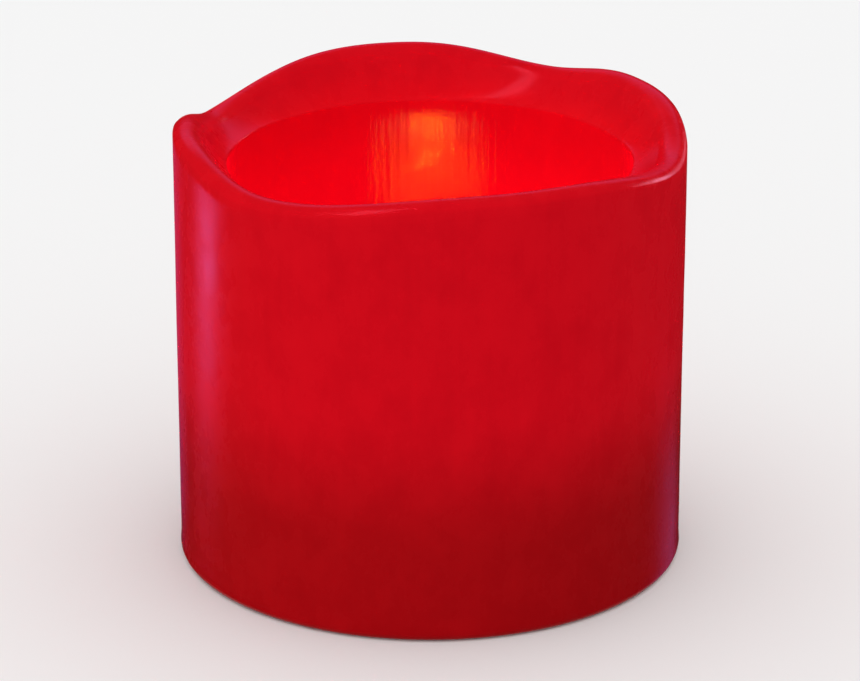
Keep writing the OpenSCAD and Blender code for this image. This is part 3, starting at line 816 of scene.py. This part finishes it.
@dataclass
class WaxBody:
    """The cast pillar: a straight outside, a melted rim and a straight hollow."""

    wall: float = 8.0
    seat_step: float = 3.0
    seat_z: float = 4.6
    base_edge: float = 1.2
    lip_width: float = 4.2
    lip_fall: float = 1.3
    lip_power: float = 2.2
    flare_power: float = 1.3
    ledge_drop: float = 7.4
    rim_pinch: float = 1.5
    # Crests and dips of the rim: degrees round from the front, depth below the highest crest
    rim_marks: tuple[tuple[float, float], ...] = (
        (-170, 0), (-115, 4.5), (-86, 1.4), (-42, 4.3), (20, 1.4), (76, 4.5), (120, 0.5),
        (150, 2.4),
    )
    steps: int = 360

    def __post_init__(self) -> None:
        """Reads the radius and the height from the CAD node."""
        high = node_box("wax_shell")[1]
        self.radius, self.height = high.x, high.z
        self.bore = self.radius - self.wall
        self.seat = self.bore + self.seat_step
        self.ledge_z = self.height - self.ledge_drop

    def rim_drop(self, angle: float) -> float:
        """Depth of the rim's crown below the highest crest, at an angle from the front."""
        start = self.rim_marks[0][0]
        angle = start + (angle - start) % 360
        marks = [*self.rim_marks, (start + 360, self.rim_marks[0][1])]
        for (a0, d0), (a1, d1) in zip(marks, marks[1:]):
            if angle <= a1:
                share = (angle - a0) / (a1 - a0)
                from_crest = share if d0 < d1 else 1 - share
                bend = ((1 - math.cos(math.pi * from_crest)) / 2) ** self.rim_pinch
                return mix(min(d0, d1), max(d0, d1), bend)
        return marks[-1][1]

    def section(self, cx: float, cy: float, angle: float) -> list[tuple[float, float, float]]:
        """The closed wall section in one direction.

        Args:
            cx: The direction's X share.
            cy: The direction's Y share.
            angle: The same direction, in degrees round from the front.

        Returns:
            Radius, height and share of the hollow's painted glow of each point, from the
            rest face round.
        """
        crown = self.height - self.rim_drop(angle) - 0.05 * (1 + wander(3 * cx, 3 * cy, 0, 5.1))
        ledge_r = self.bore + 0.2 * wander(2.5 * cx, 2.5 * cy, 0, 9.7)
        ledge_z = self.ledge_z - 0.2 * (1 + wander(2 * cx, 2 * cy, 0, 2.3))
        edge, seat = self.base_edge, self.seat
        # The third value of each point is its share of the hollow's painted glow: a little on the lip,
        # growing down the flare, and all of it in the hollow
        points = [(seat, 0.3, 0.0), (seat + 0.3, 0.0, 0.0), (mix(seat, self.radius, 0.4), 0.0, 0.0)]
        points += [(self.radius - edge + edge * math.sin(a), edge - edge * math.cos(a), 0.0)
                   for a in (math.pi / 2 * k / 6 for k in range(7))]
        top = crown - self.lip_fall
        points += [(self.radius, mix(edge, top, k / 44), 0.0) for k in range(1, 44)]
        for k in range(17):
            depth = self.lip_width * (1 - math.cos(math.pi * k / 16)) / 2
            across = abs(2 * depth / self.lip_width - 1)
            points.append((self.radius - depth, crown - self.lip_fall * across ** self.lip_power,
                           0.1 * k / 16))
        lip_r = self.radius - self.lip_width
        for k in range(1, 16):
            t = k / 15
            z = ledge_z + (top - ledge_z) * (1 - t) ** self.flare_power
            lump = 0.14 * math.sin(math.pi * t) * wander(4 * cx, 4 * cy, 0.1 * z, 4.4)
            points.append((mix(lip_r, ledge_r, t), z + lump, mix(0.04, 0.94, t ** 1.7)))
        points.append((ledge_r, ledge_z - 0.3, 1.0))
        points += [(self.bore, mix(ledge_z - 0.8, self.seat_z, k / 60), 1.0) for k in range(61)]
        points += [(mix(self.bore, seat, 0.5), self.seat_z, 0.3), (seat, self.seat_z, 0.0),
                   (seat, self.seat_z / 2, 0.0)]
        return points

    def worn(self, cx: float, cy: float, r: float, z: float) -> float:
        """The radius of a point once the cast surface has wandered: only inwards outside."""
        if r > self.radius - 0.05 and z > 2 * self.base_edge:
            slow = 1 + wander(2.2 * cx, 2.2 * cy, 0.035 * z, 1.7)
            quick = 1 + wander(9 * cx, 9 * cy, 0.2 * z, 6.2)
            return r - 0.07 * slow - 0.02 * quick
        if abs(r - self.bore) < 0.3 and z > self.seat_z + 25:
            drawn = wander(7 * cx, 7 * cy, 0.06 * z, 3.9)
            trowelled = wander(1.5 * cx, 1.5 * cy, 0.7 * z, 7.7)
            return r - 0.04 * drawn - 0.02 * trowelled
        return r

    def build(self) -> None:
        """Sweeps the section round the axis and dresses it."""
        points: list[Point] = []
        hollow_glow_share: list[float] = []
        for k in range(self.steps):
            angle = 360 * k / self.steps
            cx, cy = math.sin(math.radians(angle)), -math.cos(math.radians(angle))
            for r, z, thinness in self.section(cx, cy, angle):
                r = self.worn(cx, cy, r, z)
                points.append((r * cx, r * cy, z))
                hollow_glow_share.append(thinness)
        count = len(points) // self.steps
        faces = []
        for k in range(self.steps):
            n = (k + 1) % self.steps
            for j in range(count):
                m = (j + 1) % count
                faces.append((k * count + j, n * count + j, n * count + m, k * count + m))
        piece = piece_from("wax_body", points, faces)
        # Each point's share of the hollow's painted glow, kept for the wax's material
        layer = piece.data.attributes.new("thinness", "FLOAT", "POINT")
        layer.data.foreach_set("value", hollow_glow_share)
        hollow = [all(hollow_glow_share[i] > 0.95 for i in face) for face in faces]
        outside = GlowingWax()
        inside = GlowingWax("dyed paraffin with painted glow, polished by the core pin", roughness=0.08,
                            specular=0.5, relief_strength=0.24, drawn_share=0.9,
                            scored_share=0.2)
        dress(piece, (outside.material(), inside.material()), Body.CANDLE, "red_wax",
              "wax_shell")
        piece.data.polygons.foreach_set("material_index", [int(h) for h in hollow])


# ---------------------------------------------------------------------------------- module


@dataclass
class Module:
    """The battery module: base, cup, battery door and the glue that holds it in the wax."""

    edge_soft: float = 0.3
    bead_soft: float = 0.25
    black: Finish = MouldedPlastic("ABS, moulded black", "#232428", roughness=0.46)
    door_black: Finish = MouldedPlastic("ABS, moulded black, door tool", "#2A2B30",
                                        roughness=0.4, grain_mm=0.3)
    steel: Finish = WorkedMetal("steel screws, zinc plated", "#B4B8BF", roughness=0.3)

    def glue(self) -> None:
        """The bead of glue between the flange and the wax, squeezed and uneven."""
        low, high = node_box("adhesive_ring")
        outer, inner = high.x, high.x - 2.4
        profile = rounded([(inner, low.z, 0.2), (outer, low.z, 0.2),
                           (outer, high.z, self.bead_soft), (inner, high.z, self.bead_soft)])
        piece = turned("glue_bead", profile, steps=180)
        for vert in piece.data.vertices:
            x, y, z = vert.co / MM
            squeeze = 0.06 * (1 + wander(0.25 * x, 0.25 * y, z, 8.1))
            middle = (outer + inner) / 2
            r = math.hypot(x, y)
            factor = mix(r, middle, squeeze) / r
            vert.co = Vector((x * factor, y * factor, z)) * MM
        dress(piece, (CloudyGlue().material(),), Body.CANDLE, "hot_glue", "adhesive_ring")

    def shell(self, node: str, finish: Finish, body: Body) -> None:
        """One moulded shell, its outer edges softened."""
        piece = edge_softened(f"{node}_shell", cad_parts[node].data, self.edge_soft)
        dress(piece, (finish.material(),), body, "black_plastic", node)

    def build(self) -> None:
        """Builds the module from its base up."""
        self.glue()
        self.shell("base_tray", self.black, Body.CANDLE)
        self.shell("housing_cup", self.black, Body.CANDLE)
        self.shell("battery_door", self.door_black, Body.DOOR)
        screws = repeated_node("housing_screws", 0.12, self.steel.material())
        dress(screws, (self.steel.material(),), Body.CANDLE, "screw_steel", "housing_screws")


# ---------------------------------------------------------------------------------- lamp


@dataclass
class Lamp:
    """The light-emitting diode, its leads and the frosted sleeve round it."""

    wall: float = 1.2
    top_soft: float = 0.8
    hole: float = 2.55
    holder_wall: float = 1.4
    rim_height: float = 1.0
    lead_soft: float = 0.08
    chip_radius: float = 1.3
    chip_foot: float = 0.5
    chip_cover: float = 2.0

    def sleeve(self) -> None:
        """The sleeve, with the ring inside that holds the lamp."""
        low, high = node_box("lamp_sleeve")
        holder_z = node_box("led_lamp")[0].z + self.rim_height
        bore, inner_top = high.x - self.wall, high.z - self.wall
        holder = self.hole + self.holder_wall
        profile = rounded([
            (bore, low.z, 0.1), (high.x, low.z, 0.15), (high.x, high.z, self.top_soft),
            (self.hole, high.z, 0.25), (self.hole, holder_z, 0.1), (holder, holder_z, 0.1),
            (holder, inner_top, 0.3), (bore, inner_top, 0.4),
        ], steps=6)
        piece = turned("lamp_sleeve_frosted", profile, steps=96)
        dress(piece, (EtchedAcrylic().material(),), Body.CANDLE, "frosted_plastic",
              "lamp_sleeve")

    def diode(self) -> None:
        """The diode's body: a rim, a straight stretch and a domed lens."""
        low, high = node_box("led_lamp")
        rim, r = high.x, high.x - 0.4
        corners = [(0, low.z, 0), (rim, low.z, 0.15), (rim, low.z + self.rim_height, 0.15),
                   (r, low.z + self.rim_height, 0.1)]
        profile = rounded(corners, steps=3, closed=False)
        profile += [(r * math.cos(math.pi / 2 * k / 14), high.z - r + r * math.sin(math.pi / 2 * k / 14))
                    for k in range(14)] + [(0, high.z)]
        piece = turned("lamp_diode", profile, steps=64, closed=False)
        dress(piece, (LampEpoxy().material(),), Body.CANDLE, "amber_epoxy", "led_lamp")

    def chip(self) -> None:
        """The lit chip on its post, inside the diode's clear body."""
        low, high = node_box("led_lamp")
        foot, top = low.z + self.chip_foot, high.z - self.chip_cover
        profile = rounded([(0, foot, 0), (self.chip_radius, foot, 0.2),
                           (self.chip_radius, top, 1.0), (0, top, 0)], closed=False)
        piece = turned("lamp_chip", profile, steps=32, closed=False)
        dress(piece, (LitChip().material(),), Body.CANDLE, "amber_epoxy")

    def build(self) -> None:
        """Builds the sleeve, the diode, its chip and its leads."""
        self.sleeve()
        self.diode()
        self.chip()
        wire = WorkedMetal("copper-clad wire, tinned", "#C6C9CE", along=Axis.Z)
        leads = repeated_node("led_leads", self.lead_soft, wire.material())
        dress(leads, (wire.material(),), Body.CANDLE, "tinned_wire", "led_leads")


# ---------------------------------------------------------------------------------- cells


@dataclass
class BatteryBay:
    """Two cells, the plates that they touch and the two coned springs."""

    cell_length: float = 44.5
    nub_height: float = 0.8
    nub_radius: float = 1.9
    jacket_step: float = 0.12
    spring_turns: float = 4.0
    wire: float = 0.35
    wide: float = 4.0
    narrow: float = 2.6
    plate_soft: float = 0.1

    def cell(self, node: str, flip: bool) -> None:
        """One cell: a jacket rolled over steel ends, and a raised contact."""
        low, high = node_box(node)
        r = (high.y - low.y) / 2
        body = self.cell_length - self.nub_height
        step = self.jacket_step
        profile = rounded([
            (0, 0, 0), (r - 0.9, 0, 0.1), (r - 0.9, step, 0.05), (r, step, 0.5),
            (r, body - step, 0.5), (r - 1.1, body - step, 0.1), (r - 1.1, body, 0.1),
            (self.nub_radius + 0.3, body, 0.1), (self.nub_radius, self.cell_length, 0.3),
            (0, self.cell_length, 0),
        ], closed=False)
        start = high.x if flip else low.x
        centre = (start, (low.y + high.y) / 2, (low.z + high.z) / 2)
        piece = turned(f"{node}_cell", profile, steps=72, centre=centre, axis=Axis.X, flip=flip,
                       closed=False)
        band_x = start + (-1 if flip else 1) * (body - 5.5)
        film = PrintedFilm(f"printed film, shrunk, {node}", "#2F62A8", "#D5D8DC", band_x)
        steel = WorkedMetal("steel can, nickel plated", "#C9CBCD", along=Axis.Y)
        dress(piece, (film.material(), steel.material()), Body.CANDLE, "cell_jacket", node)
        axis = Vector(centre) * MM
        for face in piece.data.polygons:
            out = (face.center - axis)
            out.x = 0
            face.material_index = int(out.length / MM < r - 0.85)

    def springs(self) -> None:
        """The coned springs, each wound from its plate towards its cell."""
        parts = loose_parts("contact_springs")
        metal = WorkedMetal("spring wire, nickel plated", "#D3D6DA", roughness=0.22)
        places = [mesh_centre(part) for part in parts]
        mesh = point_mesh("springs", places)
        facing = mesh.attributes.new("facing", "FLOAT_VECTOR", "POINT")
        for i, place in enumerate(places):
            facing.data[i].vector = (1, 0, 0) if place.x < 0 else (-1, 0, 0)
        xs = [v.co.x for v in parts[0].vertices]
        length = max(xs) - min(xs) - 2 * self.wire * MM

        def build(tree: bpy.types.NodeTree, given: dict) -> bpy.types.NodeSocket:
            """A spiral with a round wire, set on each point to face its cell."""
            coil = add(tree, "GeometryNodeCurveSpiral", {
                "Resolution": 32, "Rotations": given["Turns"],
                "Start Radius": given["Wide radius"], "End Radius": given["Narrow radius"],
                "Height": given["Length"]})
            half = add(tree, "ShaderNodeMath", {0: given["Length"], 1: -0.5},
                       operation="MULTIPLY")
            shift = add(tree, "ShaderNodeCombineXYZ", {"Z": half.outputs[0]})
            centred = add(tree, "GeometryNodeTransform",
                          {"Geometry": coil.outputs[0], "Translation": shift.outputs[0]})
            wire = add(tree, "GeometryNodeCurvePrimitiveCircle",
                       {"Resolution": 12, "Radius": given["Wire radius"]}, mode="RADIUS")
            solid = add(tree, "GeometryNodeCurveToMesh",
                        {"Curve": centred.outputs[0], "Profile Curve": wire.outputs[0],
                         "Fill Caps": True})
            smooth = add(tree, "GeometryNodeSetShadeSmooth", {0: solid.outputs[0]})
            dots = add(tree, "GeometryNodeMeshToPoints", {"Mesh": given["Geometry"]})
            way = add(tree, "GeometryNodeInputNamedAttribute", {"Name": "facing"},
                      data_type="FLOAT_VECTOR")
            turn = add(tree, "FunctionNodeAlignRotationToVector",
                       {"Vector": way.outputs["Attribute"]}, axis="Z")
            copies = add(tree, "GeometryNodeInstanceOnPoints",
                         {"Points": dots.outputs[0], "Instance": smooth.outputs[0],
                          "Rotation": turn.outputs[0]})
            return copies.outputs[0]

        piece = grown("contact_springs_wound", mesh, {
            "Turns": ("NodeSocketFloat", self.spring_turns),
            "Wide radius": ("NodeSocketFloat", self.wide * MM),
            "Narrow radius": ("NodeSocketFloat", self.narrow * MM),
            "Wire radius": ("NodeSocketFloat", self.wire * MM),
            "Length": ("NodeSocketFloat", length),
        }, build, metal.material())
        dress(piece, (metal.material(),), Body.CANDLE, "spring_wire", "contact_springs")

    def build(self) -> None:
        """Builds the cells, the plates and the springs."""
        self.cell("battery_front", flip=False)
        self.cell("battery_rear", flip=True)
        plate = WorkedMetal("steel strip, rolled and nickel plated", "#C2C6CA", along=Axis.Y)
        for node in ("bridge_contact", "positive_contact", "negative_contact"):
            piece = edge_softened(f"{node}_plate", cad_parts[node].data, self.plate_soft)
            dress(piece, (plate.material(),), Body.CANDLE, "contact_plate", node)
        self.springs()


# ---------------------------------------------------------------------------------- switch


@dataclass
class SwitchUnit:
    """The slide switch: frame, slider, terminal board, terminals and screws."""

    sheet_soft: float = 0.1
    knob_soft: float = 0.22

    def build(self) -> None:
        """Builds the switch's pieces."""
        sheet = WorkedMetal("steel sheet, pressed and tin plated", "#A9AEB4", roughness=0.36)
        board = MouldedPlastic("phenolic paper board, punched", "#87552A", roughness=0.55)
        knob = MouldedPlastic("polyamide, moulded white", "#E8E7E2", roughness=0.36, bump=0.1)
        tin = WorkedMetal("brass pins, tinned", "#D5C48C", along=Axis.Z)
        steel = WorkedMetal("steel screws, zinc plated", "#B4B8BF", roughness=0.3)
        for node, finish, body, slot, soft in (
                ("switch_frame", sheet, Body.CANDLE, "switch_metal", self.sheet_soft),
                ("switch_base", board, Body.CANDLE, "switch_board", self.sheet_soft),
                ("switch_slider", knob, Body.SLIDER, "slider_plastic", self.knob_soft)):
            piece = edge_softened(f"{node}_part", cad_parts[node].data, soft)
            dress(piece, (finish.material(),), body, slot, node)
        for node, finish, slot, soft in (("switch_terminals", tin, "terminal_brass", 0.08),
                                         ("switch_screws", steel, "screw_steel", 0.1)):
            piece = repeated_node(node, soft, finish.material())
            dress(piece, (finish.material(),), Body.CANDLE, slot, node)


# ---------------------------------------------------------------------------------- board


@dataclass
class Electronics:
    """The circuit board and what it carries."""

    board_soft: float = 0.12
    joint_radius: float = 0.85
    joint_height: float = 0.9

    def joints(self) -> None:
        """Solder: one bright cone round each lamp lead and each wire on the board."""
        board_z = node_box("circuit_board")[0].z
        places = []
        for part in loose_parts("led_leads"):
            centre = mesh_centre(part)
            places.append(Vector((centre.x, centre.y, board_z * MM)))
        for node in ("wire_positive", "wire_switch", "wire_timer"):
            tops = [v.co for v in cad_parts[node].data.vertices
                    if abs(v.co.z / MM - board_z) < 0.01]
            middle = sum(tops, Vector()) / len(tops)
            places.append(Vector((middle.x, middle.y, board_z * MM)))
        r, h = self.joint_radius, self.joint_height
        profile = [(0, -h)] + [(mix(0.45, r, t ** 2.2), mix(-h, -0.04, t))
                               for t in (k / 8 for k in range(9))] + [(r, 0), (0, 0)]
        template = turned("solder_one", profile, steps=24, closed=False)
        solder = WorkedMetal("solder, set from a melt", "#C4C7CC", roughness=0.2)
        piece = repeated("solder_joints", template, places, solder.material())
        dress(piece, (solder.material(),), Body.CANDLE, "tinned_wire")

    def build(self) -> None:
        """Builds the board, its parts and their solder."""
        crystal_metal = WorkedMetal("steel can, drawn and tinned", "#BFC2C7", along=Axis.X)
        low, high = node_box("resistor")
        bands = BandedEnamel("enamel, dipped and banded", "#D2B884",
                             ("#8A4A1E", "#1A1A1A", "#B3261E", "#C8A03A"),
                             (low.x + high.x) / 2 - 1.2)
        sleeve = MouldedPlastic("polyester sleeve, shrunk", "#20305C", roughness=0.24,
                                grain_mm=1.5, bump=0.08)
        blob = MouldedPlastic("epoxy, cast over the chip", "#0F0F11", roughness=0.16,
                              grain_mm=1.2, bump=0.1)
        steel = WorkedMetal("steel screws, zinc plated", "#B4B8BF", roughness=0.3)
        for node, finish, slot, soft in (
                ("circuit_board", BoardLaminate(), "board_laminate", self.board_soft),
                ("control_chip", blob, "chip_epoxy", 0.15),
                ("resistor", bands, "resistor_enamel", 0.12),
                ("capacitor", sleeve, "capacitor_sleeve", 0.25),
                ("timer_crystal", crystal_metal, "crystal_can", 0.15)):
            piece = edge_softened(f"{node}_part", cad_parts[node].data, soft)
            dress(piece, (finish.material(),), Body.CANDLE, slot, node)
        screws = repeated_node("board_screws", 0.1, steel.material())
        dress(screws, (steel.material(),), Body.CANDLE, "screw_steel", "board_screws")
        self.joints()


@dataclass
class Wiring:
    """The four insulated wires."""

    colours: tuple[tuple[str, str, str], ...] = (
        ("wire_positive", "#A8231B", "red_insulation"),
        ("wire_negative", "#1A1A1C", "black_insulation"),
        ("wire_switch", "#E4E4DF", "white_insulation"),
        ("wire_timer", "#2C5DAD", "blue_insulation"),
    )

    def build(self) -> None:
        """Smooths each wire and gives it its colour."""
        for node, colour, slot in self.colours:
            skin = MouldedPlastic(f"PVC, extruded, {slot.split('_')[0]}", colour,
                                  roughness=0.3, grain_mm=0.8, bump=0.06)
            piece = tube_softened(f"{node}_insulation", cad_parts[node].data)
            dress(piece, (skin.material(),), Body.CANDLE, slot, node)


# ---------------------------------------------------------------------------------- studio


@dataclass
class Studio:
    """A pale floor, soft light and the camera."""

    floor_colour: str = "#F5F5F5"
    air_colour: str = "#F7F7F7"
    air_strength: float = 1.08
    gloss_strength: float = 0.02
    camera_distance: float = 608.0
    camera_elevation: float = 20.5
    target_z: float = 34.2
    aim_z: float = 32.3
    lens: float = 169.6

    def floor(self) -> bpy.types.Object:
        """A wide floor, open under the candle's foot and clear from below."""
        rings = (36.6, 60.0, 120.0, 400.0, 6000.0)
        steps = 96
        points = [(r * math.cos(2 * math.pi * k / steps), r * math.sin(2 * math.pi * k / steps), 0)
                  for r in rings for k in range(steps)]
        faces = [(i * steps + k, (i + 1) * steps + k, (i + 1) * steps + (k + 1) % steps,
                  i * steps + (k + 1) % steps)
                 for i in range(len(rings) - 1) for k in range(steps)]
        floor = piece_from("floor", points, faces, smooth=False)
        material, tree = blank_material("painted board, matt")
        paint = add(tree, "ShaderNodeBsdfDiffuse", {"Color": linear(self.floor_colour)})
        clear = add(tree, "ShaderNodeBsdfTransparent")
        side = add(tree, "ShaderNodeNewGeometry").outputs["Backfacing"]
        both = add(tree, "ShaderNodeMixShader",
                   {0: side, 1: paint.outputs[0], 2: clear.outputs[0]})
        add(tree, "ShaderNodeOutputMaterial", {"Surface": both.outputs[0]})
        floor.data.materials.append(material)
        floor.visible_glossy = False
        return floor

    def sky(self) -> None:
        """A pale surround that fills the shadows, and shows less in the gloss."""
        world = bpy.data.worlds.new("studio")
        world.use_nodes = True
        tree = world.node_tree
        tree.nodes.clear()
        ray = add(tree, "ShaderNodeLightPath")
        level = add(tree, "ShaderNodeMapRange",
                    {"Value": ray.outputs["Is Glossy Ray"], "To Min": self.air_strength,
                     "To Max": self.gloss_strength})
        air = add(tree, "ShaderNodeBackground",
                  {"Color": linear(self.air_colour), "Strength": level.outputs[0]})
        add(tree, "ShaderNodeOutputWorld", {"Surface": air.outputs[0]})
        world.cycles.sampling_method = "NONE"
        bpy.context.scene.world = world

    def lamp(self, name: str, place: Point, aim: Point, size: tuple[float, float], power: float,
             colour: str, unlit: bpy.types.Object) -> None:
        """One rectangular soft light, aimed at a point, that doesn't show in gloss.

        Args:
            name: The light's name.
            place: Where it stands, in millimetres.
            aim: The point that it is aimed at, in millimetres.
            size: Its width and height, in millimetres.
            power: Its power, in watts.
            colour: The colour of its light.
            unlit: An object that it leaves out, so that the object takes no shadow from it.
        """
        data = bpy.data.lights.new(name, "AREA")
        data.shape = "RECTANGLE"
        data.size, data.size_y = size[0] * MM, size[1] * MM
        data.energy = power
        data.color = linear(colour)[:3]
        light = bpy.data.objects.new(name, data)
        light.location = Vector(place) * MM
        towards = (Vector(aim) - Vector(place)).normalized()
        light.rotation_euler = towards.to_track_quat("-Z", "Y").to_euler()
        light.visible_glossy = False
        left_out = bpy.data.collections.new(f"left out by {name}")
        left_out.objects.link(unlit)
        light.light_linking.receiver_collection = left_out
        left_out.collection_objects[0].light_linking.link_state = "EXCLUDE"
        bpy.context.scene.collection.objects.link(light)

    def card(self, name: str, centre: Point, size: tuple[float, float], strength: float,
             colour: str) -> None:
        """A bright card that shows only in gloss, and faces the candle.

        Args:
            name: The card's name.
            centre: Its middle, in millimetres.
            size: Its width and height, in millimetres.
            strength: How bright it is.
            colour: The colour of its light.
        """
        middle = Vector(centre)
        turn = (Vector((0, 0, 35)) - middle).normalized().to_track_quat("Z", "Y").to_matrix()
        points = [turn @ Vector((s * size[0] / 2, t * size[1] / 2, 0)) + middle
                  for s, t in ((-1, -1), (1, -1), (1, 1), (-1, 1))]
        card = piece_from(name, points, [(0, 1, 2, 3)], smooth=False)
        material, tree = blank_material(f"{name}, lit cloth")
        light = add(tree, "ShaderNodeEmission", {"Color": linear(colour), "Strength": strength})
        add(tree, "ShaderNodeOutputMaterial", {"Surface": light.outputs[0]})
        material.cycles.emission_sampling = "NONE"
        card.data.materials.append(material)
        for kind in ("camera", "diffuse", "transmission", "volume_scatter", "shadow"):
            setattr(card, f"visible_{kind}", False)

    def round_about(self, azimuth: float, distance: float, z: float) -> Point:
        """A place round the candle, at an azimuth measured from the front towards +X."""
        turn = math.radians(azimuth)
        return distance * math.sin(turn), -distance * math.cos(turn), z

    def camera(self) -> None:
        """The camera, slightly above the candle and in front of it."""
        data = bpy.data.cameras.new("camera")
        data.lens, data.sensor_width = self.lens, 36.0
        data.clip_start, data.clip_end = 0.01, 20.0
        camera = bpy.data.objects.new("camera", data)
        tilt = math.radians(self.camera_elevation)
        place = Vector((0, -self.camera_distance * math.cos(tilt),
                        self.target_z + self.camera_distance * math.sin(tilt)))
        camera.location = place * MM
        towards = Vector((0, 0, self.aim_z)) - place
        camera.rotation_euler = towards.to_track_quat("-Z", "Y").to_euler()
        bpy.context.scene.collection.objects.link(camera)
        bpy.context.scene.camera = camera

    def build(self) -> None:
        """Sets the whole studio up."""
        floor = self.floor()
        self.sky()
        self.card("left_card", self.round_about(-114, 420, -88), (90, 40), 14.0, "#FF95FF")
        self.card("edge_card", self.round_about(-157, 420, -100), (160, 130), 0.3, "#FF95FF")
        self.card("right_card", self.round_about(138, 420, -215), (180, 120), 0.7, "#FF9EFF")
        self.card("back_card", (0, 620, 420), (700, 300), 1.6, "#E7A5FF")
        self.card("patch_card", (-211, -90, 500), (60, 190), 65.0, "#FFB4E6")
        self.card("rim_card", (470, 430, 230), (130, 80), 38.0, "#FFC3EB")
        self.card("ceiling_card", (0, 0, 1000), (900, 900), 0.25, "#FFFFFF")
        self.card("pit_card", (0, 0, -300), (800, 800), 0.7, "#FFFFFF")
        self.lamp("key", (-420, -430, 560), (0, 0, 35), (520, 520), 3.6, "#FFFFFF", floor)
        self.camera()
        view = bpy.context.scene.view_settings
        view.view_transform, view.look = "Standard", "None"


def main() -> None:
    """Builds the candle and the studio, in order."""
    for part in (WaxBody(), Module(), Lamp(), BatteryBay(), SwitchUnit(), Electronics(), Wiring(),
                 Studio()):
        part.build()
        LOG.info("%s built", type(part).__name__)


if __name__ == "__main__":
    logging.basicConfig(level=logging.INFO, format="%(message)s")
    main()
